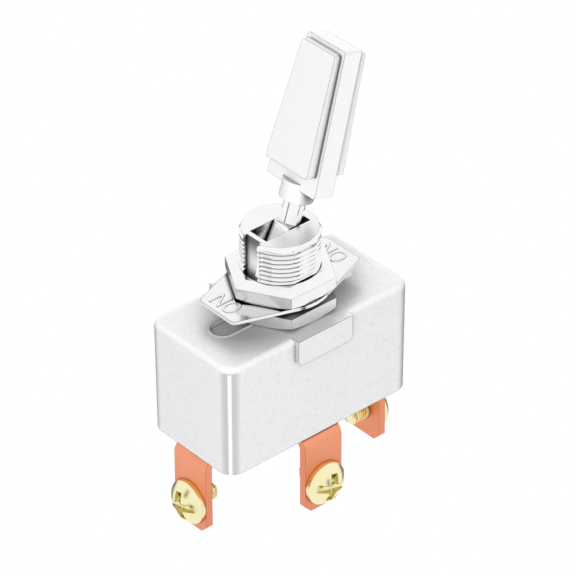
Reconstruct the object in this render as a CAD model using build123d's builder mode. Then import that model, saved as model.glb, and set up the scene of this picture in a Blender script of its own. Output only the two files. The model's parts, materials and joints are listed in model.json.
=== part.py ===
"""Panel toggle switch with a paddle lever, three screw terminals and a threaded mounting bushing.

All lengths are in millimetres. The origin is on the bushing's axis, level with the top of the housing.
+Z runs up the bushing, +X along the housing towards the side the lever leans to, and -Y is the front.
"""
from build123d import *
from math import cos, radians, sin, sqrt, tan
import os

# Housing, moulded in one piece and open at the bottom
housing_length = 35.5
housing_width = 18.3
housing_height = 18.9
housing_corner_radius = 2.6
housing_top_fillet = 1.1
housing_wall = 1.6
housing_top_thickness = 2.2
draft_angle = 0.45
pad_width = 10.4
pad_height = 4.3
pad_depth = 0.8
pad_corner_radius = 0.9
groove_length = 26.0
groove_width = 3.8
groove_depth = 0.7

# Base plate that closes the housing, held in a rebate in the walls
base_thickness = 2.0
base_ledge = 0.6

# Threaded bushing
thread_radius = 6.0
thread_pitch = 0.75
bushing_height = 13.0
bushing_chamfer = 0.3
thread_runout = 0.1
bushing_bore_radius = 4.3
bushing_mouth_radius = 5.35
bushing_flange_radius = 6.9
bushing_flange_thickness = 1.4
keyway_width = 3.1
keyway_depth = 1.0
bushing_flat_depth = 0.38
slot_length = 8.36
slot_width = 3.6
slot_depth = 4.8

# Nuts and indicator plate
nut_across_flats = 14.8
nut_side_height = 2.2
nut_crown_height = 0.8
nut_crown_slope = 27.0
nut_face_step = 0.1
nut_chamfer_angle = 24.0
plate_thickness = 0.6
plate_disc_radius = 7.7
plate_half_length = 12.3
plate_end_half_width = 4.0
plate_corner_radius = 0.9

# Lever, measured along its own axis from the pivot
lever_tilt = 17.7
pivot_height = 7.0
pivot_pin_radius = 0.9
pivot_pin_length = 10.0
pivot_pin_chamfer = 0.15
lever_blade_thickness = 3.3
lever_blade_top = 5.9
lever_blade_half_width_top = 1.55
lever_hub_radius = 2.6
lever_shoulder_height = 0.4
shank_radius = 1.65
shank_depth_in_paddle = 9.0
tail_radius = 1.5
tail_bore_radius = 0.95

# Paddle moulded onto the lever's shank
collar_radius = 2.6
collar_bottom = 9.8
collar_height = 2.25
collar_edge_radius = 0.4
paddle_length = 22.45
paddle_width_bottom = 10.35
paddle_width_top = 7.95
paddle_core_bottom = 3.5
paddle_core_top = 3.3
paddle_outline_radius = 0.45
panel_start = 3.0
panel_top_step = 0.7
panel_side_step = 0.55
panel_rise_bottom = 1.9
panel_rise_top = 1.4

# Plunger and its spring inside the lever's tail
plunger_tip_radius = 1.5
plunger_stem_radius = 0.9
plunger_stem_length = 9.3
plunger_reach = 3.0
spring_wire_radius = 0.18
spring_coil_radius = 0.68
spring_pitch = 1.15
spring_room = 4.0

# Rocker, its bracket and the contacts
rocker_swing = lever_tilt / 3
rocker_rise = 2.12
rocker_thickness = 0.8
rocker_width = 5.0
rocker_half_length = 11.0
rocker_dish_half_width = 7.0
rocker_pin_radius = 0.55
rocker_pin_reach = 3.9
bracket_thickness = 0.8
bracket_inner_half_width = 2.8
bracket_half_length = 2.6
bracket_ear_rim = 0.75
contact_edge_distance = 1.7
contact_radius = 1.5
contact_rivet_radius = 0.8
moving_contact_height = 1.1
contact_head_radius = 1.2
contact_head_height = 0.4
fixed_contact_radius = 1.9
contact_edge_chamfer = 0.2
rivet_radius = 1.25
rivet_head_height = 0.7
peened_radius = 1.35

# Terminals and their screws
terminal_thickness = 1.2
terminal_width = 7.1
terminal_drop = 13.3
terminal_bend_radius = 2.0
terminal_corner_chamfer = 1.15
end_terminal_reach = 17.7
end_terminal_overlap = 2.7
middle_terminal_reach = 9.5
middle_terminal_overlap = 2.6
screw_drop = 9.0
screw_radius = 1.42
screw_head_radius = 3.5
screw_rim_height = 0.7
screw_head_height = 2.45
screw_tip_reach = 3.1
screw_tip_chamfer = 0.35
screw_slot_width = 1.1
screw_slot_depth = 0.95
screw_cross_length = 4.4
screw_cross_width = 1.2

# Clearances
moulding_clearance = 0.1
fit_clearance = 0.02
running_clearance = 0.05
contact_clearance = 0.08

# Levels that follow from the stack
thread_depth = 0.6134 * thread_pitch
pitch_radius = thread_radius - 0.3248 * thread_pitch
nut_thickness = nut_side_height + nut_crown_height
plate_bottom = nut_thickness
plate_top = plate_bottom + plate_thickness
upper_nut_top = plate_top + nut_thickness
exposed_thread_start = upper_nut_top + thread_runout
base_top = -housing_height + base_thickness
flange_top = -housing_top_thickness
flange_bottom = flange_top - bushing_flange_thickness
bore_top = bushing_height - slot_depth
terminal_top = -housing_height
terminal_bottom = terminal_top - terminal_thickness
contact_spacing = rocker_half_length - contact_edge_distance
end_terminal_inner = contact_spacing - end_terminal_overlap
middle_terminal_inner = -middle_terminal_overlap

# The lever's tail and the plunger reach down from the pivot to the rocker, which stands on the base
tip_clearance = contact_clearance
rocker_pivot_height = base_top + rocker_rise
rocker_top = rocker_pivot_height + rocker_thickness / 2
plunger_tip_distance = pivot_height - rocker_top - tip_clearance - plunger_tip_radius
tail_length = plunger_tip_distance - plunger_reach
plunger_stem_top = plunger_tip_distance - plunger_stem_length
tail_bore_top = plunger_stem_top - spring_room

# The lever's own frame: local X across the paddle's faces, local Y along world Y, local Z up the lever
lean_x = (cos(radians(lever_tilt)), 0, -sin(radians(lever_tilt)))
lean_z = (sin(radians(lever_tilt)), 0, cos(radians(lever_tilt)))
pivot_point = (0, 0, pivot_height)
lever_frame = Plane(origin=pivot_point, x_dir=lean_x, z_dir=lean_z)
lever_side = Plane(origin=pivot_point, x_dir=lean_x, z_dir=(0, -1, 0))
lever_face = Plane(origin=pivot_point, x_dir=(0, 1, 0), z_dir=lean_x)
lever_axis = Axis(pivot_point, lean_z)

# The rocker rolls the opposite way to the lever, by less, so the plunger's tip follows a shallow dish in it
rocker_x = (cos(radians(rocker_swing)), 0, sin(radians(rocker_swing)))
rocker_z = (-sin(radians(rocker_swing)), 0, cos(radians(rocker_swing)))
rocker_point = (0, 0, rocker_pivot_height)
rocker_side = Plane(origin=rocker_point, x_dir=rocker_x, z_dir=(0, -1, 0))
rocker_frame = Plane(origin=rocker_point, x_dir=rocker_x, z_dir=rocker_z)


def dish_radius():
    """Radius of the path of the tip's centre as the rocker sees it, from its middle and end positions."""
    tip_x = -plunger_tip_distance * sin(radians(lever_tilt))
    tip_z = pivot_height - plunger_tip_distance * cos(radians(lever_tilt)) - rocker_pivot_height
    along = tip_x * rocker_x[0] + tip_z * rocker_x[2]
    height = tip_x * rocker_z[0] + tip_z * rocker_z[2]
    rise = height - (pivot_height - plunger_tip_distance - rocker_pivot_height)
    return (along**2 + rise**2) / (2 * rise)


def bushing_section(radius, clearance=0.0):
    """Circle with the bushing's flat at the front and its keyway at the left, grown by a clearance."""
    with BuildSketch() as section:
        Circle(radius + clearance)
        flat_edge = thread_radius - bushing_flat_depth + clearance
        with Locations((0, -flat_edge)):
            Rectangle(3 * radius, radius, align=(Align.CENTER, Align.MAX), mode=Mode.SUBTRACT)
        with Locations((-(thread_radius - keyway_depth + clearance), 0)):
            Rectangle(
                radius, keyway_width - 2 * clearance, align=(Align.MAX, Align.CENTER), mode=Mode.SUBTRACT
            )
    return section.sketch


# Housing: drafted box with rounded corners, hollow, with a pad on each long face and a groove in its top
with BuildPart() as housing:
    with BuildSketch(Plane.XY):
        RectangleRounded(housing_length, housing_width, housing_corner_radius)
    extrude(amount=-housing_height, taper=draft_angle)
    fillet(housing.edges().group_by(Axis.Z)[-1], housing_top_fillet)
    with BuildSketch(Plane.XY):
        with Locations((0, -housing_width / 2 - pad_depth), (0, housing_width / 2 + pad_depth)):
            Rectangle(pad_width, 2 * (pad_depth + housing_wall))
        Rectangle(pad_width, housing_width + 2 * pad_depth, mode=Mode.INTERSECT)
    extrude(amount=-pad_height)
    pad_corners = (
        housing.edges()
        .filter_by(Axis.Y)
        .filter_by_position(Axis.Z, -pad_height - 0.01, -pad_height + 0.01)
    )
    fillet(pad_corners, pad_corner_radius)
    with BuildSketch(Plane.XY.offset(-housing_height)):
        RectangleRounded(
            housing_length - 2 * housing_wall,
            housing_width - 2 * housing_wall,
            housing_corner_radius - housing_wall,
        )
    extrude(amount=housing_height - housing_top_thickness, taper=draft_angle, mode=Mode.SUBTRACT)
    with BuildSketch(Plane.XY.offset(-housing_height)):
        RectangleRounded(
            housing_length - 2 * (housing_wall - base_ledge),
            housing_width - 2 * (housing_wall - base_ledge),
            housing_corner_radius - housing_wall + base_ledge,
        )
    extrude(amount=base_thickness, mode=Mode.SUBTRACT)
    with BuildSketch(Plane.XY):
        SlotOverall(groove_length, groove_width)
    extrude(amount=-groove_depth, mode=Mode.SUBTRACT)
    with BuildSketch(Plane.XY):
        add(bushing_section(pitch_radius, moulding_clearance))
    extrude(amount=-housing_top_thickness, mode=Mode.SUBTRACT)
housing.part.label = "housing"

# Base plate with a hole for each rivet
rivet_places = [(-contact_spacing, 0), (0, 0), (contact_spacing, 0)]
with BuildPart() as terminal_base:
    with BuildSketch(Plane.XY.offset(-housing_height)):
        RectangleRounded(
            housing_length - 2 * (housing_wall - base_ledge + moulding_clearance),
            housing_width - 2 * (housing_wall - base_ledge + moulding_clearance),
            housing_corner_radius - housing_wall + base_ledge - moulding_clearance,
        )
        with Locations(*rivet_places):
            Circle(rivet_radius + fit_clearance, mode=Mode.SUBTRACT)
    extrude(amount=base_thickness)
terminal_base.part.label = "terminal_base"

# Bushing: turned body with a flange under the housing's top, then the slot, the flat, the keyway and two
# grooves up the bore that take the pivot pin's ends
with BuildPart() as bushing:
    with BuildSketch(Plane.XZ):
        with BuildLine():
            Polyline(
                (0, bore_top),
                (bushing_bore_radius, bore_top),
                (bushing_bore_radius, 0),
                (bushing_mouth_radius, flange_bottom),
                (bushing_flange_radius, flange_bottom),
                (bushing_flange_radius, flange_top),
                (pitch_radius, flange_top),
                (pitch_radius, exposed_thread_start),
                (thread_radius, exposed_thread_start),
                (thread_radius, bushing_height - 2 * bushing_chamfer),
                (thread_radius - bushing_chamfer, bushing_height),
                (0, bushing_height),
                close=True,
            )
        make_face()
    revolve(axis=Axis.Z)
    with BuildSketch(Plane.XY.offset(bushing_height)):
        Rectangle(slot_length, slot_width)
    extrude(amount=-slot_depth, mode=Mode.SUBTRACT)
    with BuildSketch(Plane.XY.offset(flange_top)):
        Circle(2 * thread_radius)
        add(bushing_section(2 * thread_radius), mode=Mode.SUBTRACT)
    extrude(amount=bushing_height - flange_top, mode=Mode.SUBTRACT)
    with BuildSketch(Plane.XZ):
        with Locations((0, pivot_height)):
            Circle(pivot_pin_radius + fit_clearance)
            Rectangle(
                2 * (pivot_pin_radius + fit_clearance),
                pivot_height - flange_bottom,
                align=(Align.CENTER, Align.MAX),
            )
    extrude(amount=pivot_pin_length / 2 + fit_clearance, both=True, mode=Mode.SUBTRACT)
bushing.part.label = "bushing"


def hex_nut(bottom):
    """Hexagon nut, corners on the X axis, chamfered below, rising above in six facets to its threaded bore."""
    side_top = bottom + nut_side_height
    top = bottom + nut_thickness
    corner_radius = nut_across_flats / sqrt(3)
    face_radius = nut_across_flats / 2 - nut_face_step
    chamfer_rise = (corner_radius - face_radius) * tan(radians(nut_chamfer_angle))
    bore_radius = pitch_radius + fit_clearance
    rim_chamfer = thread_depth / 2
    with BuildPart() as nut:
        with BuildSketch(Plane.XY.offset(bottom)):
            RegularPolygon(nut_across_flats / 2, 6, major_radius=False)
        extrude(amount=nut_side_height)
        with BuildSketch(Plane.XZ):
            with BuildLine():
                Polyline(
                    (0, bottom),
                    (face_radius, bottom),
                    (corner_radius, bottom + chamfer_rise),
                    (corner_radius, side_top),
                    (0, side_top),
                    close=True,
                )
            make_face()
        revolve(axis=Axis.Z, mode=Mode.INTERSECT)
        with BuildSketch(Plane.XY.offset(side_top)):
            RegularPolygon(nut_across_flats / 2, 6, major_radius=False)
        extrude(amount=nut_crown_height, taper=90 - nut_crown_slope)
        with BuildSketch(Plane.XZ):
            with BuildLine():
                Polyline(
                    (0, bottom),
                    (bore_radius + rim_chamfer, bottom),
                    (bore_radius, bottom + rim_chamfer),
                    (bore_radius, top - rim_chamfer),
                    (bore_radius + rim_chamfer, top),
                    (0, top),
                    close=True,
                )
            make_face()
        revolve(axis=Axis.Z, mode=Mode.SUBTRACT)
    return nut.part


lower_nut = hex_nut(0)
lower_nut.label = "lower_nut"
upper_nut = hex_nut(plate_top)
upper_nut.label = "upper_nut"

# Indicator plate: a disc tapering to two straight ends, its hole keyed to the bushing
with BuildPart() as indicator_plate:
    with BuildSketch(Plane.XY.offset(plate_bottom)):
        Circle(plate_disc_radius)
        with GridLocations(
            2 * (plate_half_length - plate_corner_radius),
            2 * (plate_end_half_width - plate_corner_radius),
            2,
            2,
        ):
            Circle(plate_corner_radius)
        make_hull()
        add(bushing_section(pitch_radius, moulding_clearance), mode=Mode.SUBTRACT)
    extrude(amount=plate_thickness)
indicator_plate.part.label = "indicator_plate"

# Lever: flat-sided blade through the bushing's slot, a round shank above it and a bored tail below it
with BuildPart() as lever:
    shoulder_top = lever_blade_top + lever_shoulder_height
    with BuildSketch(lever_side):
        with BuildLine():
            Polyline(
                (-lever_hub_radius, 0),
                (lever_hub_radius, 0),
                (lever_blade_half_width_top, lever_blade_top),
                (lever_blade_half_width_top, shoulder_top),
                (-lever_blade_half_width_top, shoulder_top),
                (-lever_blade_half_width_top, lever_blade_top),
                close=True,
            )
        make_face()
        Circle(lever_hub_radius)
    extrude(amount=lever_blade_thickness / 2, both=True)
    blade_corner = sqrt(lever_blade_half_width_top**2 + (lever_blade_thickness / 2) ** 2)
    with BuildSketch(lever_side):
        with BuildLine():
            Polyline(
                (0, -2 * lever_hub_radius),
                (2 * lever_hub_radius, -2 * lever_hub_radius),
                (2 * lever_hub_radius, lever_hub_radius),
                (blade_corner, lever_blade_top),
                (shank_radius, shoulder_top),
                (0, shoulder_top),
                close=True,
            )
        make_face()
    revolve(axis=lever_axis, mode=Mode.INTERSECT)
    with BuildSketch(lever_frame.offset(shoulder_top)):
        Circle(shank_radius)
    extrude(amount=collar_bottom + collar_height + shank_depth_in_paddle - shoulder_top)
    with BuildSketch(lever_frame.offset(-tail_length)):
        Circle(tail_radius)
    extrude(amount=tail_length)
    with BuildSketch(lever_frame.offset(-tail_length)):
        Circle(tail_bore_radius)
    extrude(amount=tail_length - tail_bore_top, mode=Mode.SUBTRACT)
    with BuildSketch(Plane.XZ.offset(-lever_blade_thickness)):
        with Locations((0, pivot_height)):
            Circle(pivot_pin_radius + running_clearance)
    extrude(amount=2 * lever_blade_thickness, mode=Mode.SUBTRACT)
lever.part.label = "lever"

# Pivot pin across the bushing, pushed up against the tops of its grooves by the plunger's spring
with BuildPart() as pivot_pin:
    with BuildSketch(Plane.XZ):
        with Locations((0, pivot_height)):
            Circle(pivot_pin_radius)
    extrude(amount=pivot_pin_length / 2, both=True)
    chamfer(pivot_pin.edges(), pivot_pin_chamfer)
pivot_pin.part.label = "pivot_pin"


def paddle_slab(bottom, top, side_step, thickness_bottom, thickness_top):
    """Tapering slab of the paddle between two heights: its broad outline crossed with its side outline."""
    paddle_bottom = collar_bottom + collar_height
    narrowing = (paddle_width_bottom - paddle_width_top) / (2 * paddle_length)
    half_width_bottom = paddle_width_bottom / 2 - side_step - narrowing * (bottom - paddle_bottom)
    half_width_top = paddle_width_bottom / 2 - side_step - narrowing * (top - paddle_bottom)
    with BuildPart() as slab:
        with BuildSketch(lever_face) as outline:
            with BuildLine():
                Polyline(
                    (-half_width_bottom, bottom),
                    (half_width_bottom, bottom),
                    (half_width_top, top),
                    (-half_width_top, top),
                    close=True,
                )
            make_face()
            fillet(outline.vertices(), paddle_outline_radius)
        extrude(amount=paddle_width_bottom, both=True)
        with BuildSketch(lever_side):
            with BuildLine():
                Polyline(
                    (-thickness_bottom / 2, bottom),
                    (thickness_bottom / 2, bottom),
                    (thickness_top / 2, top),
                    (-thickness_top / 2, top),
                    close=True,
                )
            make_face()
        extrude(amount=paddle_width_bottom, both=True, mode=Mode.INTERSECT)
    return slab.part


# Paddle: a core, a narrower raised panel on both faces, and a round collar below, bored for the shank
paddle_bottom_height = collar_bottom + collar_height
paddle_top_height = paddle_bottom_height + paddle_length
core_slab = paddle_slab(
    paddle_bottom_height, paddle_top_height, 0, paddle_core_bottom, paddle_core_top
)
panel_slab = paddle_slab(
    paddle_bottom_height + panel_start,
    paddle_top_height - panel_top_step,
    panel_side_step,
    paddle_core_bottom + 2 * panel_rise_bottom,
    paddle_core_top + 2 * panel_rise_top,
)
with BuildPart() as paddle:
    add(core_slab)
    add(panel_slab)
    with BuildSketch(lever_frame.offset(collar_bottom)):
        Circle(collar_radius)
    extrude(amount=collar_height + paddle_core_bottom / 4)
    collar_rim = paddle.edges().filter_by(GeomType.CIRCLE).sort_by(lever_axis)[0]
    fillet(collar_rim, collar_edge_radius)
    with BuildSketch(lever_frame.offset(collar_bottom)):
        Circle(shank_radius + fit_clearance)
    extrude(amount=collar_height + shank_depth_in_paddle + fit_clearance, mode=Mode.SUBTRACT)
paddle.part.label = "paddle"

# Plunger: stem in the lever's tail with a ball tip that rides in the rocker's dish
with BuildPart() as plunger:
    ball_shoulder = plunger_tip_distance - sqrt(plunger_tip_radius**2 - plunger_stem_radius**2)
    with BuildSketch(lever_side):
        with BuildLine():
            Line((0, -plunger_stem_top), (plunger_stem_radius, -plunger_stem_top))
            Line((plunger_stem_radius, -plunger_stem_top), (plunger_stem_radius, -ball_shoulder))
            ThreePointArc(
                (plunger_stem_radius, -ball_shoulder),
                (plunger_tip_radius, -plunger_tip_distance),
                (0, -plunger_tip_distance - plunger_tip_radius),
            )
            Line((0, -plunger_tip_distance - plunger_tip_radius), (0, -plunger_stem_top))
        make_face()
    revolve(axis=lever_axis)
plunger.part.label = "plunger"

# Compression spring between the plunger and the end of the tail's bore, its fine wire given six flats
with BuildPart() as plunger_spring:
    spring_bottom = -plunger_stem_top + spring_wire_radius + fit_clearance
    spring_top = -tail_bore_top - spring_wire_radius - fit_clearance
    spring_seat = lever_frame.from_local_coords((0, 0, spring_bottom))
    with BuildLine():
        coil = Helix(
            spring_pitch,
            spring_top - spring_bottom,
            spring_coil_radius,
            center=spring_seat,
            direction=lean_z,
        )
    with BuildSketch(Plane(origin=coil @ 0, z_dir=coil % 0)):
        RegularPolygon(spring_wire_radius, 6)
    sweep(path=coil, is_frenet=True)
plunger_spring.part.label = "plunger_spring"

# Rocker: a strip with a dished middle that sits on two trunnions
dish_top_radius = dish_radius() + plunger_tip_radius + tip_clearance
dish_centre = rocker_thickness / 2 + dish_top_radius
arm_top = dish_centre - sqrt(dish_top_radius**2 - rocker_dish_half_width**2)
arm_bottom = arm_top - rocker_thickness
dish_bottom_radius = dish_top_radius + rocker_thickness
dish_bottom_half_width = sqrt(dish_bottom_radius**2 - (dish_centre - arm_bottom) ** 2)
contact_places = [(-contact_spacing, 0), (contact_spacing, 0)]
with BuildPart() as rocker:
    with BuildSketch(rocker_side):
        with BuildLine():
            Line((-rocker_half_length, arm_top), (-rocker_dish_half_width, arm_top))
            ThreePointArc(
                (-rocker_dish_half_width, arm_top),
                (0, rocker_thickness / 2),
                (rocker_dish_half_width, arm_top),
            )
            Line((rocker_dish_half_width, arm_top), (rocker_half_length, arm_top))
            Line((rocker_half_length, arm_top), (rocker_half_length, arm_bottom))
            Line((rocker_half_length, arm_bottom), (dish_bottom_half_width, arm_bottom))
            ThreePointArc(
                (dish_bottom_half_width, arm_bottom),
                (0, -rocker_thickness / 2),
                (-dish_bottom_half_width, arm_bottom),
            )
            Line((-dish_bottom_half_width, arm_bottom), (-rocker_half_length, arm_bottom))
            Line((-rocker_half_length, arm_bottom), (-rocker_half_length, arm_top))
        make_face()
    extrude(amount=rocker_width / 2, both=True)
    with BuildSketch(rocker_frame.offset(arm_bottom)):
        with Locations(*contact_places):
            Circle(contact_rivet_radius + fit_clearance)
    extrude(amount=rocker_thickness, mode=Mode.SUBTRACT)
    with BuildSketch(rocker_side):
        Circle(rocker_pin_radius)
    extrude(amount=rocker_pin_reach, both=True)
rocker.part.label = "rocker"


def moving_contact(side):
    """Chamfered contact button riveted through one arm of the rocker."""
    axis_x = side * contact_spacing
    button_bottom = arm_bottom - moving_contact_height
    head_top = arm_top + contact_head_height
    with BuildPart() as contact:
        with BuildSketch(rocker_side):
            with BuildLine():
                Line((axis_x, button_bottom), (axis_x, head_top))
                Polyline(
                    (axis_x, head_top),
                    (axis_x + contact_head_radius, head_top),
                    (axis_x + contact_head_radius, arm_top),
                    (axis_x + contact_rivet_radius, arm_top),
                    (axis_x + contact_rivet_radius, arm_bottom),
                    (axis_x + contact_radius, arm_bottom),
                    (axis_x + contact_radius, button_bottom + contact_edge_chamfer),
                    (axis_x + contact_radius - 2 * contact_edge_chamfer, button_bottom),
                    (axis_x, button_bottom),
                )
            make_face()
        centre = rocker_frame.from_local_coords((axis_x, 0, 0))
        revolve(axis=Axis(centre, rocker_z))
    return contact.part


rocker_contact_left = moving_contact(-1)
rocker_contact_left.label = "rocker_contact_left"
rocker_contact_right = moving_contact(1)
rocker_contact_right.label = "rocker_contact_right"

# Bracket: a U of strip with a round-topped ear on each side of the rocker
with BuildPart() as fulcrum_bracket:
    ear_outer = bracket_inner_half_width + bracket_thickness
    ear_radius = rocker_pin_radius + bracket_ear_rim
    with BuildSketch(Plane.XY.offset(base_top)):
        Rectangle(2 * bracket_half_length, 2 * ear_outer)
        Circle(rivet_radius + fit_clearance, mode=Mode.SUBTRACT)
    extrude(amount=bracket_thickness)
    with BuildSketch(Plane.XZ):
        with BuildLine():
            Polyline(
                (-bracket_half_length, base_top),
                (bracket_half_length, base_top),
                (ear_radius, rocker_pivot_height),
                (-ear_radius, rocker_pivot_height),
                close=True,
            )
        make_face()
        with Locations((0, rocker_pivot_height)):
            Circle(ear_radius)
            Circle(rocker_pin_radius + running_clearance, mode=Mode.SUBTRACT)
    extrude(amount=ear_outer, both=True)
    with BuildSketch(Plane.XY.offset(base_top + bracket_thickness)):
        Rectangle(3 * bracket_half_length, 2 * bracket_inner_half_width)
    extrude(amount=2 * (rocker_pivot_height - base_top), mode=Mode.SUBTRACT)
    with BuildSketch(Plane.XY.offset(base_top)):
        Circle(rivet_radius + fit_clearance)
    extrude(amount=bracket_thickness, mode=Mode.SUBTRACT)
fulcrum_bracket.part.label = "fulcrum_bracket"


def rivet(place_x, head_bottom, head_top, head_radius):
    """Rivet through the base and a terminal, with a chamfered head inside and a peened head below."""
    head_rim = head_top - contact_edge_chamfer
    peened_bottom = terminal_bottom - rivet_head_height
    with BuildPart() as body:
        with BuildSketch(Plane.XZ):
            with BuildLine():
                Polyline(
                    (place_x, peened_bottom),
                    (place_x, head_top),
                    (place_x + head_radius - 2 * contact_edge_chamfer, head_top),
                    (place_x + head_radius, head_rim),
                    (place_x + head_radius, head_bottom),
                    (place_x + rivet_radius, head_bottom),
                    (place_x + rivet_radius, terminal_bottom),
                    (place_x + fixed_contact_radius, terminal_bottom),
                    (place_x + peened_radius, peened_bottom),
                    close=True,
                )
            make_face()
        revolve(axis=Axis((place_x, 0, 0), (0, 0, 1)))
    return body.part


# The fixed contacts stop just under the moving ones when the rocker is fully over
moving_face = arm_bottom - moving_contact_height
closed_height = (
    rocker_pivot_height
    - contact_spacing * sin(radians(rocker_swing))
    + moving_face * cos(radians(rocker_swing))
)
fixed_contact_left = rivet(
    -contact_spacing, base_top, closed_height - contact_clearance, fixed_contact_radius
)
fixed_contact_left.label = "fixed_contact_left"
fixed_contact_right = rivet(
    contact_spacing, base_top, closed_height - contact_clearance, fixed_contact_radius
)
fixed_contact_right.label = "fixed_contact_right"
centre_rivet = rivet(
    0, base_top + bracket_thickness, base_top + bracket_thickness + rivet_head_height, fixed_contact_radius
)
centre_rivet.label = "centre_rivet"


def outward_planes(outward):
    """Side plane of a terminal, and the frame of its outer face, for a horizontal outward direction."""
    side = Plane(
        origin=(0, 0, terminal_top), x_dir=outward, z_dir=(outward[1], -outward[0], 0)
    )
    return side, Plane(origin=(0, 0, 0), x_dir=(-outward[1], outward[0], 0), z_dir=outward)


def terminal(outward, reach, inner_end, rivet_place):
    """Copper strip riveted under the base and bent down at its outer end, with a screw hole."""
    side, face = outward_planes(outward)
    with BuildPart() as strip:
        with BuildSketch(side) as section:
            with BuildLine():
                Polyline(
                    (inner_end, 0),
                    (reach, 0),
                    (reach, -terminal_drop),
                    (reach - terminal_thickness, -terminal_drop),
                    (reach - terminal_thickness, -terminal_thickness),
                    (inner_end, -terminal_thickness),
                    close=True,
                )
            make_face()
            outer_corner = section.vertices().sort_by_distance((reach, 0))[0]
            fillet(outer_corner, terminal_bend_radius)
            inner_bend = (reach - terminal_thickness, -terminal_thickness)
            inner_corner = section.vertices().sort_by_distance(inner_bend)[0]
            fillet(inner_corner, terminal_bend_radius - terminal_thickness)
        extrude(amount=terminal_width / 2, both=True)
        lower_corners = strip.edges().filter_by(Axis((0, 0, 0), outward)).group_by(Axis.Z)[0]
        chamfer(lower_corners, terminal_corner_chamfer)
        with BuildSketch(face.offset(reach)):
            with Locations((0, terminal_top - screw_drop)):
                Circle(screw_radius + fit_clearance)
        extrude(amount=-terminal_thickness, mode=Mode.SUBTRACT)
        with BuildSketch(Plane.XY.offset(terminal_bottom)):
            with Locations(rivet_place):
                Circle(rivet_radius + fit_clearance)
        extrude(amount=terminal_thickness, mode=Mode.SUBTRACT)
    return strip.part


def terminal_screw(outward, reach, slot_angle):
    """Pan-head screw with a combined slot and cross recess, through a terminal from its outer face."""
    face = outward_planes(outward)[1]
    centre = face.offset(reach).from_local_coords((0, terminal_top - screw_drop, 0))
    head = Plane(origin=centre, x_dir=face.x_dir, z_dir=outward)
    profile = Plane(origin=centre, x_dir=face.x_dir, z_dir=(0, 0, -1))
    shank_end = -terminal_thickness - screw_tip_reach
    with BuildPart() as screw:
        with BuildSketch(profile):
            with BuildLine():
                Polyline(
                    (0, screw_head_height),
                    (0, shank_end),
                    (screw_radius - screw_tip_chamfer, shank_end),
                    (screw_radius, shank_end + screw_tip_chamfer),
                    (screw_radius, 0),
                    (screw_head_radius, 0),
                    (screw_head_radius, screw_rim_height),
                )
                dome_rise = screw_head_height - screw_rim_height
                dome_radius = (screw_head_radius**2 + dome_rise**2) / (2 * dome_rise)
                half = screw_head_radius / 2
                ThreePointArc(
                    (screw_head_radius, screw_rim_height),
                    (half, screw_head_height - dome_radius + sqrt(dome_radius**2 - half**2)),
                    (0, screw_head_height),
                )
            make_face()
        revolve(axis=Axis(centre, outward))
        with BuildSketch(head.offset(screw_head_height)):
            with Locations(Location((0, 0, 0), slot_angle)):
                Rectangle(3 * screw_head_radius, screw_slot_width)
                Rectangle(screw_cross_width, screw_cross_length)
        extrude(amount=-screw_slot_depth, mode=Mode.SUBTRACT)
    return screw.part


terminals = {
    "left": ((-1, 0, 0), end_terminal_reach, end_terminal_inner, rivet_places[0], 13),
    "middle": ((0, -1, 0), middle_terminal_reach, middle_terminal_inner, rivet_places[1], -15),
    "right": ((1, 0, 0), end_terminal_reach, end_terminal_inner, rivet_places[2], 20),
}
finished = [
    housing.part,
    terminal_base.part,
    bushing.part,
    lower_nut,
    upper_nut,
    indicator_plate.part,
    lever.part,
    pivot_pin.part,
    paddle.part,
    plunger.part,
    plunger_spring.part,
    rocker.part,
    rocker_contact_left,
    rocker_contact_right,
    fulcrum_bracket.part,
    fixed_contact_left,
    fixed_contact_right,
    centre_rivet,
]
for name, (outward, reach, inner_end, rivet_place, slot_angle) in terminals.items():
    strip = terminal(outward, reach, inner_end, rivet_place)
    strip.label = "terminal_" + name
    screw = terminal_screw(outward, reach, slot_angle)
    screw.label = "screw_" + name
    finished += [strip, screw]

os.makedirs("parts", exist_ok=True)
for piece in finished:
    export_step(piece, "parts/" + piece.label + ".step")
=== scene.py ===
"""Dresses the panel toggle switch: cut threads, raised lettering, finishes, light and camera."""

import json
import math

import bmesh
import bpy
from mathutils import Matrix, Vector


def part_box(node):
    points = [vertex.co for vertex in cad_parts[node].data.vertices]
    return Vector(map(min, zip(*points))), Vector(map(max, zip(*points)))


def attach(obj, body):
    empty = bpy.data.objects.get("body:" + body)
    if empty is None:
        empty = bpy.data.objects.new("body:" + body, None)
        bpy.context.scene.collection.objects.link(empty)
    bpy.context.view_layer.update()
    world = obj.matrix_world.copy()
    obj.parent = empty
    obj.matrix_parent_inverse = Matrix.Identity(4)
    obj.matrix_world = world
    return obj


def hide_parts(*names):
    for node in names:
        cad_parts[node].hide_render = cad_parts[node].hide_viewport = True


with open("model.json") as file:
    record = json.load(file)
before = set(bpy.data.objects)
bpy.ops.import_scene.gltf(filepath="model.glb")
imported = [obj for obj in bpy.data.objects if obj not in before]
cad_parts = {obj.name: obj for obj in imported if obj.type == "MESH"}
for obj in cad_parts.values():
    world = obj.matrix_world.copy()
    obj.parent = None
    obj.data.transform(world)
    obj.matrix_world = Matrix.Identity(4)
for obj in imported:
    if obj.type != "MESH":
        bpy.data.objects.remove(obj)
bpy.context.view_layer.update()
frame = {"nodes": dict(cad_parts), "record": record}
parts = frame["nodes"]
mounts = {mount["name"]: mount for mount in frame["record"]["mounts"]}
mm = 0.001

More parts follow.
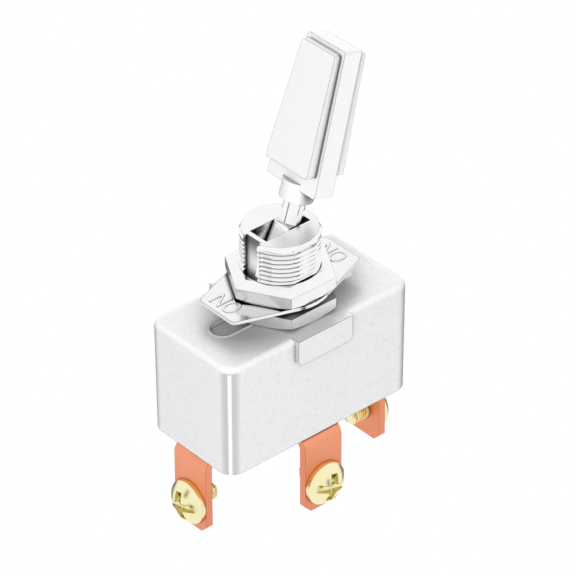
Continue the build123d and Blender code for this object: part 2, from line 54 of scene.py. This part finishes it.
# Sizes taken from the frame
nose = mounts["bushing_nose"]
thread_radius = nose["dims"]["r_mm"] * mm
thread_length = nose["dims"]["length_mm"] * mm
thread_bottom = nose["pos_m"][2] - thread_length / 2
bushing_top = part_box("bushing")[1].z
plate_low, plate_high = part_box("indicator_plate")
screw_low, screw_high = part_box("screw_left")
screw_head_radius = (screw_high.y - screw_low.y) / 2

# Threads
thread_pitch = thread_radius / 8
thread_depth = 0.55 * thread_pitch
thread_overcut = 0.08 * mm
plain_lead = 0.4 * mm
hidden_thread = 0.66 * mm
strip_thickness = 1.2 * mm
screw_thread_radius = 0.406 * screw_head_radius
screw_thread_pitch = 0.5 * mm
screw_thread_depth = 0.36 * screw_thread_pitch
screw_thread_overcut = 0.06 * mm
screw_lead_in = 2 * screw_thread_pitch
flank_angle = math.radians(30)
root_share = 0.1
run_out_turns = 0.25
run_out_end = 0.02
steps_per_turn = 72

# Lettering on the plate's ends
letter_height = 3.1 * mm
letter_rise = 0.07 * mm
letter_rounding = 0.03 * mm
letter_thinning = 0.02 * mm
letter_condensing = 0.72
capital_share = 0.73
left_word_inset = 2.5 * mm
left_word_y = 0.4 * mm
right_word_inset = 2.0 * mm
right_word_y = 0.05 * mm

# Meshes
sharp_angle = math.radians(20)
weld_distance = 0.0005 * mm


class Signal:
    """An output socket that takes part in sums, so shader maths reads as an expression."""

    def __init__(self, maker, socket):
        self.maker = maker
        self.socket = socket

    def math(self, operation, *others):
        return self.maker.node("ShaderNodeMath", {"operation": operation}, [self, *others])

    def __add__(self, other):
        return self.math("ADD", other)

    def __rsub__(self, other):
        return self.maker.node("ShaderNodeMath", {"operation": "SUBTRACT"}, [other, self])

    def __mul__(self, other):
        return self.math("MULTIPLY", other)

    __radd__ = __add__
    __rmul__ = __mul__

    def size(self):
        return self.math("ABSOLUTE")

    def root(self):
        return self.math("SQRT")

    def clamped(self):
        return self.maker.node("ShaderNodeClamp", {}, [self])

    def ramp(self, low, high):
        """0 at low, 1 at high, eased between them."""
        return self.maker.node(
            "ShaderNodeMapRange", {"interpolation_type": "SMOOTHSTEP"}, [self, low, high, 0.0, 1.0]
        )


class NodeMaker:
    """Adds nodes to a tree."""

    def __init__(self, tree):
        self.tree = tree

    def node(self, kind, settings, inputs=(), output=0):
        """Adds a node: its settings first, then values or links for its sockets by place or by name."""
        made = self.tree.nodes.new(kind)
        for setting, value in settings.items():
            setattr(made, setting, value)
        pairs = inputs.items() if isinstance(inputs, dict) else enumerate(inputs)
        for place, value in pairs:
            if isinstance(value, Signal):
                self.tree.links.new(value.socket, made.inputs[place])
            else:
                made.inputs[place].default_value = value
        return Signal(self, made.outputs[output])

    def glow(self, strength):
        """A white emission, where a strength of 1 shows as white."""
        return self.node("ShaderNodeEmission", {}, {"Color": (1, 1, 1, 1), "Strength": strength})

    def seen_as_backdrop(self):
        """1 for the camera and in mirrors and glass, 0 for light that falls on the object."""
        camera = self.node("ShaderNodeLightPath", {}, output="Is Camera Ray")
        glossy = self.node("ShaderNodeLightPath", {}, output="Is Glossy Ray")
        clear = self.node("ShaderNodeLightPath", {}, output="Is Transmission Ray")
        return (camera + glossy + clear).clamped()


class Finish(NodeMaker):
    """A procedural material under construction."""

    def __init__(self, name, roughness=0.5, metallic=0.0, colour=(0.8, 0.8, 0.8)):
        self.material = bpy.data.materials.new(name)
        self.material.use_nodes = True
        super().__init__(self.material.node_tree)
        self.shader = self.tree.nodes["Principled BSDF"]
        self.shader.inputs["Base Color"].default_value = (*colour, 1)
        self.shader.inputs["Roughness"].default_value = roughness
        self.shader.inputs["Metallic"].default_value = metallic

    def place(self):
        return self.node("ShaderNodeTexCoord", {}, output="Object")

    def height(self):
        """Height above the case's top, in metres."""
        return self.node("ShaderNodeSeparateXYZ", {}, [self.place()], "Z")

    def noise(self, scale, detail=2.0, stretch=(1, 1, 1)):
        """Noise with features about 1/scale metres wide, from 0 to 1."""
        where = self.node(
            "ShaderNodeMapping", {}, {"Vector": self.place(), "Scale": tuple(scale * s for s in stretch)}
        )
        return self.node(
            "ShaderNodeTexNoise",
            {},
            {"Vector": where, "Scale": 1.0, "Detail": detail, "Roughness": 0.5},
        )

    def specks(self, scale):
        """Distance to the nearest of many scattered points, in cell widths."""
        return self.node(
            "ShaderNodeTexVoronoi", {}, {"Vector": self.place(), "Scale": scale}, output="Distance"
        )

    def openness(self, reach):
        """1 on open surfaces, falling towards 0 in crevices narrower than the reach."""
        return self.node(
            "ShaderNodeAmbientOcclusion", {"samples": 12}, {"Distance": reach}, output="AO"
        )

    def rounded(self, reach):
        """The surface's direction as if its sharp edges were rounded over the reach."""
        return self.node("ShaderNodeBevel", {"samples": 8}, {"Radius": reach})

    def agreement(self, first, second):
        """1 where two directions agree, falling to -1 where they are opposite."""
        return self.node(
            "ShaderNodeVectorMath", {"operation": "DOT_PRODUCT"}, [first, second], output="Value"
        )

    def facing(self, direction):
        """1 where the surface faces a direction, falling to -1 where it faces away."""
        normal = self.node("ShaderNodeTexCoord", {}, output="Normal")
        return self.agreement(normal, direction)

    def edge(self, reach):
        """1 along sharp edges, 0 where the surface is flat for the reach."""
        true = self.node("ShaderNodeNewGeometry", {}, output="True Normal")
        return (1 - self.agreement(self.rounded(reach), true)).ramp(0.02, 0.16)

    def mix(self, amount, first, second):
        """Colour between first and second."""
        mixed = self.tree.nodes.new("ShaderNodeMix")
        mixed.data_type = "RGBA"
        for name, value in (("Factor", amount), ("A", first), ("B", second)):
            socket = next(s for s in mixed.inputs if s.name == name and s.enabled)
            if isinstance(value, Signal):
                self.tree.links.new(value.socket, socket)
            else:
                socket.default_value = (*value, 1)
        result = next(s for s in mixed.outputs if s.enabled)
        return Signal(self, result)

    def feed(self, socket, signal):
        self.tree.links.new(signal.socket, self.shader.inputs[socket])

    def tint(self, amount, tone):
        """Mixes a tone into the colour reached so far, by an amount held between 0 and 1."""
        self.colour = self.mix(amount.clamped(), self.colour, tone)
        self.feed("Base Color", self.colour)

    def line_edges(self, reach, share, tone):
        """Draws a thin line of a tone along sharp edges, as painted shade."""
        self.tint(self.edge(reach) * share, tone)

    def bump(self, height, depth, strength):
        """Raises the surface by height times depth, in metres."""
        bumped = self.node(
            "ShaderNodeBump", {}, {"Height": height, "Distance": depth, "Strength": strength}, "Normal"
        )
        self.feed("Normal", bumped)

    def show(self, surface):
        """Puts a surface other than the plain shader on the material."""
        self.tree.links.new(surface.socket, self.tree.nodes["Material Output"].inputs["Surface"])


def grey(tone, blue=0.0):
    """A neutral colour, with a little more blue where the finish is cool."""
    return (tone, tone, tone + blue)


def moulded_plastic(name, light, dark, roughness, grain, speck_share):
    """Moulded surface: fine grain with darker specks in loose patches, and a soft change of gloss."""
    finish = Finish(name, roughness=roughness)
    cloud = finish.noise(grain / 12, detail=3.0)
    pits = finish.specks(grain).ramp(0.12, 0.42)
    patches = finish.noise(grain * 0.3).ramp(0.44, 0.56) * speck_share
    finish.colour = finish.mix(((1 - pits) * patches).clamped(), light, dark)
    finish.feed("Roughness", (roughness - 0.06) + cloud * 0.12)
    finish.bump(pits * 0.6 + finish.noise(grain) * 0.4, 0.01 * mm, 0.5)
    return finish


def paint_moulding_shade(finish, dark, zone, zone_share, crevice, crevice_shade_share):
    """Painted soft shade round what stands on a moulding, and painted darker shade in its crevices."""
    shade = tuple(channel * 0.5 for channel in dark)
    crevice_shade = tuple(channel * 0.1 for channel in dark)
    finish.tint((1 - finish.openness(zone).ramp(0.45, 1.0)) * zone_share, shade)
    finish.tint((1 - finish.openness(crevice).ramp(0.25, 0.9)) * crevice_shade_share, crevice_shade)


def plated_metal(name, light, shade, roughness, streak=(1, 1, 1)):
    """Bright metal with faint machining marks and duller patches."""
    finish = Finish(name, roughness=roughness, metallic=1.0)
    marks = finish.noise(2500, stretch=streak)
    cloud = finish.noise(300)
    finish.colour = finish.mix((cloud * 0.7 + marks * 0.3).clamped(), shade, light)
    finish.dullness = (roughness - 0.05) + cloud * 0.08 + marks * 0.04
    finish.feed("Roughness", finish.dullness)
    finish.bump(marks, 0.004 * mm, 0.25)
    return finish


def paint_crevice_shade(finish, crevice, opening, deep):
    """Painted shade in crevices: a deep tone, full where openness is at the low end of the opening."""
    finish.tint(1 - finish.openness(crevice).ramp(*opening), deep)


def case_finish():
    """Pale case with painted highlights on its rounded edges and a painted greyer shade band beside each
    upright edge.
    """
    dark = grey(0.5, 0.01)
    finish = moulded_plastic(
        "case_plastic", grey(0.85, 0.005), dark, roughness=0.42, grain=3800, speck_share=0.6
    )
    paint_moulding_shade(finish, dark, zone=10 * mm, zone_share=0.5, crevice=1.2 * mm, crevice_shade_share=0.35)
    finish.line_edges(0.2 * mm, 1.0, grey(0.1, 0.002))

    # Products of two directions peak at the middle of a rounding between them
    upward = finish.facing((0, 0, 1)).size()
    round_upright = (finish.facing((1, 0, 0)) * finish.facing((0, 1, 0))).size()
    round_rim = upward * (1 - upward * upward).root()
    on_side = 1 - upward.ramp(0.1, 0.6)
    on_top = (1 - on_side) * upward.ramp(0.98, 0.999)
    # Painted shade: a greyer band down each side of every upright rounding
    finish.tint(round_upright.ramp(0.05, 0.46) * on_side * 0.9, grey(0.48))
    # Painted highlight: a pale stripe down the middle of each upright rounding and along the top's rounded
    # rim
    painted_highlight = round_upright.ramp(0.48, 0.499) * on_side + round_rim.ramp(0.26, 0.47)
    finish.tint(painted_highlight * 0.9, grey(0.97))

    # A painted highlight: a pale line on the top beside edges that fall away to the back right, such as the
    # groove's front lip
    back_right = (0.66, 0.75, 0)
    beside_edge = finish.agreement(finish.rounded(0.9 * mm), back_right)
    finish.tint(beside_edge.ramp(0.02, 0.14) * on_top, grey(0.97))
    return finish


def base_finish():
    """Duller, yellower moulding of the base that closes the case."""
    dark = (0.5, 0.49, 0.46)
    finish = moulded_plastic(
        "base_plastic", (0.7, 0.69, 0.66), dark, roughness=0.6, grain=3000, speck_share=0.5
    )
    paint_moulding_shade(finish, dark, zone=3 * mm, zone_share=0.4, crevice=1.2 * mm, crevice_shade_share=0.9)
    finish.line_edges(0.1 * mm, 0.2, tuple(channel * 0.2 for channel in dark))
    return finish


def plunger_finish():
    """Natural, slightly waxy plastic of the plunger."""
    dark = (0.7, 0.66, 0.56)
    finish = moulded_plastic(
        "plunger_plastic", (0.86, 0.83, 0.74), dark, roughness=0.45, grain=1500, speck_share=0.3
    )
    paint_moulding_shade(finish, dark, zone=2 * mm, zone_share=0.3, crevice=0.5 * mm, crevice_shade_share=0.8)
    finish.line_edges(0.1 * mm, 0.2, tuple(channel * 0.2 for channel in dark))
    return finish


def paddle_finish():
    """White, fairly glossy grip, with painted shade on its collar's front right side, under the grip."""
    dark = grey(0.6, 0.02)
    finish = moulded_plastic(
        "paddle_plastic", grey(0.95, 0.005), dark, roughness=0.25, grain=1500, speck_share=0.05
    )
    paint_moulding_shade(finish, dark, zone=2.5 * mm, zone_share=0.12, crevice=0.9 * mm, crevice_shade_share=0.3)
    finish.line_edges(0.2 * mm, 0.9, grey(0.12, 0.004))
    # Painted shade on the collar's front right side, under the grip
    under_grip = 1 - finish.openness(6 * mm).ramp(0.7, 1.0)
    on_right = finish.facing((0.707, -0.707, 0)).ramp(-0.2, 0.65)
    finish.tint(under_grip * on_right, grey(0.1))
    return finish


def nickel_finish():
    """Bright plating of bushing and lever, dull where it was turned flat or milled, with painted shade in
    its crevices and keyway.
    """
    finish = plated_metal("nickel", grey(0.97, 0.005), grey(0.9, 0.005), roughness=0.11)
    paint_crevice_shade(finish, 0.45 * mm, (0.3, 0.62), grey(0.03, 0.003))

    # Painted shade lines along edges only above the thread, whose ridges are all edges
    rim = bushing_top - 0.3 * mm
    above_thread = finish.height().ramp(rim - 0.05 * mm, rim + 0.05 * mm)
    finish.line_edges(0.22 * mm, above_thread * 0.8, grey(0.2))

    turned = finish.facing((0, 0, 1)).ramp(0.98, 0.999)
    milled = finish.facing((-1, 0, 0)).ramp(0.98, 0.999)
    finish.feed("Roughness", finish.dullness + turned * 0.2 + milled * 0.34)

    # Painted shade: the keyway's floor darkens towards its top, and its wall in the corner with the floor
    upper_keyway = finish.height().ramp(bushing_top - 4.2 * mm, bushing_top - 0.4 * mm)
    finish.tint(milled * upper_keyway * 0.9, grey(0.1))
    keyway_wall = finish.facing((0, -1, 0)).ramp(0.97, 0.99)
    corner = 1 - finish.openness(1.5 * mm).ramp(0.6, 0.85)
    finish.tint(keyway_wall * corner, grey(0.03))
    return finish


def upper_nut_finish():
    """Satin plating of the upper nut and the raised lettering, with painted shade that makes the nut's left
    flat a little greyer.
    """
    finish = plated_metal("nickel_nut", grey(0.97, 0.005), grey(0.88, 0.005), roughness=0.2)
    paint_crevice_shade(finish, 0.8 * mm, (0.2, 0.52), grey(0.03, 0.003))
    finish.line_edges(0.22 * mm, 0.9, grey(0.12))
    # Painted shade on the nut's left flat
    left_flat = finish.facing((-0.866, -0.5, 0)).ramp(0.97, 0.995)
    finish.tint(left_flat * 0.3, grey(0.35))
    return finish


def lower_nut_finish():
    """Duller plating of the lower nut, with a painted deep shade on the crown, which the plate covers."""
    finish = plated_metal("nickel_under_nut", grey(0.98, 0.005), grey(0.93, 0.005), roughness=0.45)
    paint_crevice_shade(finish, 0.5 * mm, (0.2, 0.52), grey(0.03, 0.003))
    finish.line_edges(0.22 * mm, 0.9, grey(0.12))
    # Painted shade on the crown, under the plate
    finish.tint(finish.facing((0, 0, 1)).ramp(0.15, 0.5) * 0.9, grey(0.1))
    return finish


def plate_finish():
    """Bright sheet of the indicator plate, with painted dark shade on its underside."""
    finish = plated_metal("nickel_sheet", grey(0.94, 0.005), grey(0.86, 0.005), roughness=0.13)
    paint_crevice_shade(finish, 1.5 * mm, (0.55, 0.72), grey(0.02))
    finish.line_edges(0.22 * mm, 0.9, grey(0.12))
    # Painted shade on the underside
    finish.tint(finish.facing((0, 0, -1)).ramp(0.9, 0.99) * 0.9, grey(0.06))
    return finish


def steel_finish():
    """Plain steel of the pivot pin and the spring."""
    finish = plated_metal("steel", grey(0.62, 0.02), grey(0.52, 0.02), roughness=0.32)
    paint_crevice_shade(finish, 0.5 * mm, (0.2, 0.8), grey(0.06))
    finish.line_edges(0.1 * mm, 0.4, grey(0.1))
    return finish


def contact_finish():
    """Silver alloy of the contacts, slightly warm."""
    finish = plated_metal("contact_metal", (0.85, 0.84, 0.8), (0.75, 0.73, 0.68), roughness=0.28)
    paint_crevice_shade(finish, 0.5 * mm, (0.2, 0.8), (0.1, 0.09, 0.07))
    finish.line_edges(0.1 * mm, 0.4, (0.2, 0.19, 0.17))
    return finish


def copper_finish():
    """Rolled strip with upright marks, redder towards its free end."""
    finish = plated_metal(
        "copper", (0.99, 0.43, 0.26), (0.94, 0.36, 0.2), roughness=0.42, streak=(1, 1, 0.15)
    )
    paint_crevice_shade(finish, 0.8 * mm, (0.4, 0.85), (0.3, 0.07, 0.03))
    finish.line_edges(0.2 * mm, 0.8, (0.4, 0.08, 0.02))
    free_end = -27 * mm
    bend = -18 * mm
    finish.tint((1 - finish.height().ramp(free_end, bend)) * 0.35, (0.7, 0.2, 0.12))
    return finish


def brass_finish():
    """Pale brass of screws, rocker, bracket and rivet, with a painted golden reflection in its recesses."""
    finish = plated_metal("brass", (0.98, 0.92, 0.6), (0.94, 0.85, 0.48), roughness=0.24)
    # Painted golden reflection in the recesses
    paint_crevice_shade(finish, 1.0 * mm, (0.4, 0.9), (1.0, 0.86, 0.25))
    finish.line_edges(0.16 * mm, 0.8, (0.35, 0.27, 0.02))
    return finish


nut_material = upper_nut_finish().material
finishes = {
    "case_plastic": case_finish().material,
    "base_plastic": base_finish().material,
    "nickel": nickel_finish().material,
    "steel": steel_finish().material,
    "paddle_plastic": paddle_finish().material,
    "plunger_plastic": plunger_finish().material,
    "brass": brass_finish().material,
    "contact_metal": contact_finish().material,
    "copper": copper_finish().material,
}
own_finishes = {
    "indicator_plate": plate_finish().material,
    "upper_nut": nut_material,
    "lower_nut": lower_nut_finish().material,
}
for row in frame["record"]["subparts"]:
    node_mesh = parts[row["node"]].data
    node_mesh.materials.clear()
    node_mesh.materials.append(own_finishes.get(row["node"], finishes[row["material_slot"]]))


def group_node(tree, kind, settings, inputs):
    """Adds a geometry node: its settings, then values or links for its sockets by name or place."""
    made = tree.nodes.new(kind)
    for setting, value in settings.items():
        setattr(made, setting, value)
    for place, value in inputs.items():
        if isinstance(value, bpy.types.NodeSocket):
            tree.links.new(value, made.inputs[place])
        else:
            made.inputs[place].default_value = value
    return made


def thread_cutting_tree():
    """A tree that cuts a V thread into a piece, running out to nothing at its top end.

    The groove winds left-handed, because the spiral node turns clockwise as it climbs.
    """
    tree = bpy.data.node_groups.new("cut_thread", "GeometryNodeTree")
    tree.is_modifier = True
    interface = tree.interface
    interface.new_socket("Geometry", in_out="INPUT", socket_type="NodeSocketGeometry")
    for label in ("Radius", "Pitch", "Turns", "Depth", "Overcut"):
        interface.new_socket(label, in_out="INPUT", socket_type="NodeSocketFloat")
    interface.new_socket("Start", in_out="INPUT", socket_type="NodeSocketVector")
    interface.new_socket("Turned", in_out="INPUT", socket_type="NodeSocketVector")
    interface.new_socket("Finish", in_out="INPUT", socket_type="NodeSocketMaterial")
    interface.new_socket("Geometry", in_out="OUTPUT", socket_type="NodeSocketGeometry")
    given = tree.nodes.new("NodeGroupInput").outputs
    end = tree.nodes.new("NodeGroupOutput")

    def number(operation, first, second=0.0, third=0.0):
        made = group_node(tree, "ShaderNodeMath", {"operation": operation}, {0: first, 1: second, 2: third})
        return made.outputs[0]

    # The groove's path, and how far it has run out
    path = group_node(
        tree,
        "GeometryNodeCurveSpiral",
        {},
        {
            "Resolution": steps_per_turn,
            "Rotations": given["Turns"],
            "Start Radius": given["Radius"],
            "End Radius": given["Radius"],
            "Height": number("MULTIPLY", given["Pitch"], given["Turns"]),
        },
    )
    upright = group_node(
        tree, "GeometryNodeSetCurveNormal", {"mode": "Z_UP"}, {"Curve": path.outputs[0]}
    )
    along = tree.nodes.new("GeometryNodeSplineParameter").outputs["Factor"]
    turns_left = number("MULTIPLY", number("SUBTRACT", 1.0, along), given["Turns"])
    fading = number("MINIMUM", number("MULTIPLY_ADD", turns_left, 1 / run_out_turns, run_out_end), 1.0)

    # The groove's section, from its root out past the wall
    full_height = number("ADD", given["Depth"], given["Overcut"])
    root_width = number("MULTIPLY", given["Pitch"], root_share)
    mouth_width = number("MULTIPLY_ADD", full_height, 2 * math.tan(flank_angle), root_width)
    section = group_node(
        tree,
        "GeometryNodeCurvePrimitiveQuadrilateral",
        {"mode": "TRAPEZOID"},
        {"Height": full_height, "Bottom Width": root_width, "Top Width": mouth_width, "Offset": 0.0},
    )
    out_of_wall = number("SUBTRACT", number("MULTIPLY", full_height, 0.5), given["Depth"])
    shift = group_node(tree, "ShaderNodeCombineXYZ", {}, {"Y": out_of_wall})
    placed = group_node(
        tree,
        "GeometryNodeTransform",
        {},
        {"Geometry": section.outputs[0], "Translation": shift.outputs[0]},
    )
    facing_out = group_node(
        tree,
        "GeometryNodeTransform",
        {},
        {"Geometry": placed.outputs[0], "Rotation": (0.0, 0.0, math.radians(90))},
    )

    # The cutter, swept along the path and taken from the piece
    swept = group_node(
        tree,
        "GeometryNodeCurveToMesh",
        {},
        {
            "Curve": upright.outputs[0],
            "Profile Curve": facing_out.outputs[0],
            "Scale": fading,
            "Fill Caps": True,
        },
    )
    cutter = group_node(
        tree,
        "GeometryNodeTransform",
        {},
        {"Geometry": swept.outputs[0], "Translation": given["Start"], "Rotation": given["Turned"]},
    )
    cut = group_node(
        tree,
        "GeometryNodeMeshBoolean",
        {"operation": "DIFFERENCE", "solver": "EXACT"},
        {"Mesh 1": given["Geometry"], "Mesh 2": cutter.outputs[0]},
    )
    real = group_node(tree, "GeometryNodeRealizeInstances", {}, {"Geometry": cut.outputs[0]})
    dressed = group_node(
        tree,
        "GeometryNodeSetMaterial",
        {},
        {"Geometry": real.outputs[0], "Material": given["Finish"]},
    )
    tree.links.new(dressed.outputs[0], end.inputs[0])
    return tree


def merged_copy(node_name, piece_name):
    """A copy of a node's mesh with its loose triangles joined."""
    mesh = parts[node_name].data.copy()
    body = bmesh.new()
    body.from_mesh(mesh)
    bmesh.ops.remove_doubles(body, verts=body.verts, dist=weld_distance)
    body.to_mesh(mesh)
    body.free()
    piece = bpy.data.objects.new(piece_name, mesh)
    bpy.context.scene.collection.objects.link(piece)
    return piece


def add_piece(name, mesh, body, replaced=()):
    """Links a finished mesh as a piece that rides on a body, smooth except at its true edges."""
    mesh.name = name
    mesh.shade_smooth()
    mesh.set_sharp_from_angle(angle=sharp_angle)
    piece = bpy.data.objects.new(name, mesh)
    bpy.context.scene.collection.objects.link(piece)
    if replaced:
        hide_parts(*replaced)
    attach(piece, body)
    return piece


cut_thread = thread_cutting_tree()


def cut_threads(node_name, piece_name, slot_name, sizes):
    """Stands a threaded piece in for a smooth node."""
    blank = merged_copy(node_name, piece_name + "_blank")
    modifier = blank.modifiers.new("thread", "NODES")
    modifier.node_group = cut_thread
    given = {**sizes, "Finish": finishes[slot_name]}
    for item in cut_thread.interface.items_tree:
        if item.in_out == "INPUT" and item.name in given:
            modifier[item.identifier] = given[item.name]
    evaluated = blank.evaluated_get(bpy.context.evaluated_depsgraph_get())
    mesh = bpy.data.meshes.new_from_object(evaluated)
    blank.modifiers.remove(modifier)
    bpy.data.objects.remove(blank)
    return add_piece(piece_name, mesh, "switch_body", [node_name])


cut_threads(
    "bushing",
    "bushing_threaded",
    "nickel",
    {
        "Radius": thread_radius,
        "Pitch": thread_pitch,
        "Turns": (thread_length - plain_lead + hidden_thread) / thread_pitch,
        "Depth": thread_depth,
        "Overcut": thread_overcut,
        "Start": (0.0, 0.0, thread_bottom - hidden_thread),
        "Turned": (0.0, 0.0, 0.0),
    },
)

# Each screw's thread runs from its tip to the strip's inner face
for side in ("left", "middle", "right"):
    face = mounts["terminal_face_" + side]
    outward = Vector(face["axis"])
    low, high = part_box("screw_" + side)
    middle = (low + high) / 2
    tip_end = min(low.dot(outward), high.dot(outward))
    inner_face = Vector(face["pos_m"]).dot(outward) - strip_thickness
    cut_threads(
        "screw_" + side,
        "screw_" + side + "_threaded",
        "brass",
        {
            "Radius": screw_thread_radius,
            "Pitch": screw_thread_pitch,
            "Turns": (inner_face - tip_end + screw_lead_in) / screw_thread_pitch,
            "Depth": screw_thread_depth,
            "Overcut": screw_thread_overcut,
            "Start": tuple(middle + outward * (tip_end - screw_lead_in - middle.dot(outward))),
            "Turned": tuple(Vector((0, 0, 1)).rotation_difference(outward).to_euler()),
        },
    )


def raised_word(word, centre, piece_name):
    """A word raised on the plate, its foot towards +X, read along +Y."""
    curve = bpy.data.curves.new(piece_name, "FONT")
    curve.body = word
    curve.size = letter_height / capital_share
    curve.align_x = "CENTER"
    curve.align_y = "CENTER"
    curve.extrude = letter_rise / 2
    curve.bevel_depth = letter_rounding
    curve.offset = -letter_thinning
    curve.resolution_u = 10
    text = bpy.data.objects.new(piece_name + "_text", curve)
    bpy.context.scene.collection.objects.link(text)
    bpy.context.view_layer.update()
    mesh = bpy.data.meshes.new_from_object(
        text.evaluated_get(bpy.context.evaluated_depsgraph_get())
    )
    bpy.data.objects.remove(text)
    condensed = Matrix.Diagonal((letter_condensing, 1, 1, 1))
    quarter_turn = Matrix(((0, -1, 0), (1, 0, 0), (0, 0, 1))).to_4x4()
    mesh.transform(Matrix.Translation(centre) @ quarter_turn @ condensed)
    mesh.materials.clear()
    mesh.materials.append(nut_material)
    return add_piece(piece_name, mesh, "switch_body")


lettering_height = plate_high.z + letter_rise / 2
left_word_centre = Vector((plate_low.x + left_word_inset, left_word_y, lettering_height))
right_word_centre = Vector((plate_high.x - right_word_inset, right_word_y, lettering_height))
raised_word("ON", left_word_centre, "lettering_left")
raised_word("ON", right_word_centre, "lettering_right")


def stage_plane(name, centre, width, height, facing, material):
    """A flat rectangle that isn't part of the object."""
    x = width / 2
    y = height / 2
    mesh = bpy.data.meshes.new(name)
    mesh.from_pydata([(-x, -y, 0), (x, -y, 0), (x, y, 0), (-x, y, 0)], [], [(0, 1, 2, 3)])
    mesh.transform(
        Matrix.Translation(centre) @ Vector(facing).to_track_quat("Z", "Y").to_matrix().to_4x4()
    )
    mesh.materials.append(material)
    plane = bpy.data.objects.new(name, mesh)
    bpy.context.scene.collection.objects.link(plane)
    return plane


def lay_floor():
    """Pale floor: plain white to the camera and in reflections, and it bounces the lamps' light."""
    depth = 0.12
    width = 6.0
    finish = Finish("studio_floor", roughness=0.9, colour=grey(0.9))
    lit = Signal(finish, finish.shader.outputs[0])
    share = finish.seen_as_backdrop()
    finish.show(finish.node("ShaderNodeMixShader", {}, {0: share, 1: lit, 2: finish.glow(1.0)}))
    stage_plane("floor", Vector((0, 0, -depth)), width, width, (0, 0, 1), finish.material)


def light_world(ambient):
    """White surroundings, which light the object only by the ambient share."""
    world = bpy.data.worlds.new("studio")
    bpy.context.scene.world = world
    world.use_nodes = True
    sky = NodeMaker(world.node_tree)
    background = sky.tree.nodes["Background"]
    background.inputs["Color"].default_value = (1, 1, 1, 1)
    strength = sky.seen_as_backdrop() * (1 - ambient) + ambient
    sky.tree.links.new(strength.socket, background.inputs["Strength"])


def softbox(name, centre, target, size, power):
    """Square lamp that points at a target and leaves no hot spot in the metal."""
    lamp = bpy.data.lights.new(name, "AREA")
    lamp.shape = "SQUARE"
    lamp.size = size
    lamp.energy = power
    holder = bpy.data.objects.new(name, lamp)
    holder.location = centre
    holder.rotation_euler = (Vector(target) - Vector(centre)).to_track_quat("-Z", "Y").to_euler()
    holder.visible_glossy = False
    bpy.context.scene.collection.objects.link(holder)


def mirror_card(name, centre, facing, width, height, tone):
    """Card beside the object that only mirrors see: it greys what faces it."""
    finish = Finish(name, roughness=1.0)
    finish.show(finish.glow(tone))
    card = stage_plane(name, Vector(centre) * mm, width, height, facing, finish.material)
    card.visible_camera = False
    card.visible_diffuse = False
    card.visible_shadow = False


def aim_camera():
    """Camera at the photograph's viewing angle, as fitted to the case, the bushing and the nuts."""
    azimuth = math.radians(-41.032)
    elevation = math.radians(34.859)
    roll = math.radians(-0.208)
    distance = 603.255 * mm
    focal_pixels = 4139.71
    picture_pixels = 576
    aim_right = 1.087 * mm
    aim_up = 1.670 * mm
    sensor = 36.0
    away = -math.cos(azimuth) * math.cos(elevation)
    back = Vector((math.sin(azimuth) * math.cos(elevation), away, math.sin(elevation)))
    level_right = Vector((math.cos(azimuth), math.sin(azimuth), 0))
    level_up = back.cross(level_right)
    right = level_right * math.cos(roll) + level_up * math.sin(roll)
    up = level_up * math.cos(roll) - level_right * math.sin(roll)
    lens = bpy.data.cameras.new("camera")
    lens.sensor_width = sensor
    lens.lens = focal_pixels / picture_pixels * sensor
    lens.clip_start = 0.01
    lens.clip_end = 20
    camera = bpy.data.objects.new("camera", lens)
    spot = right * aim_right + up * aim_up + back * distance
    turned = Matrix((right, up, back)).transposed().to_4x4()
    camera.matrix_world = Matrix.Translation(spot) @ turned
    bpy.context.scene.collection.objects.link(camera)
    bpy.context.scene.camera = camera


lay_floor()
light_world(ambient=0.37)
softbox("overhead", (0.25, 0.32, 0.42), (0, 0, 0), size=0.25, power=1.75)
softbox("front", (-0.4, -0.42, 0.3), (0, 0, -0.01), size=0.45, power=3.05)
softbox("fill", (0.4, 0.42, 0.1), (0, 0, 0), size=0.5, power=0.8)
mirror_card("card_left", (-86.6, -19.7, -52.0), (0.8, 0.16, 0.57), 40 * mm, 40 * mm, tone=0.6)
mirror_card("flag_left", (-78.5, 15.3, 3.0), (0.98, -0.19, 0.0), 14 * mm, 40 * mm, tone=0.1)
mirror_card("flag_front", (12.5, -79.0, -46.0), (-0.16, 0.99, 0.0), 12 * mm, 60 * mm, tone=0.1)
mirror_card("flag_back", (6.4, 122.8, -76.0), (-0.05, -1.0, 0.0), 85 * mm, 80 * mm, tone=0.18)
mirror_card("flag_right", (120.7, 23.5, -76.0), (-0.98, -0.19, 0.0), 85 * mm, 80 * mm, tone=0.18)
aim_camera()
bpy.context.scene.view_settings.view_transform = "Standard"
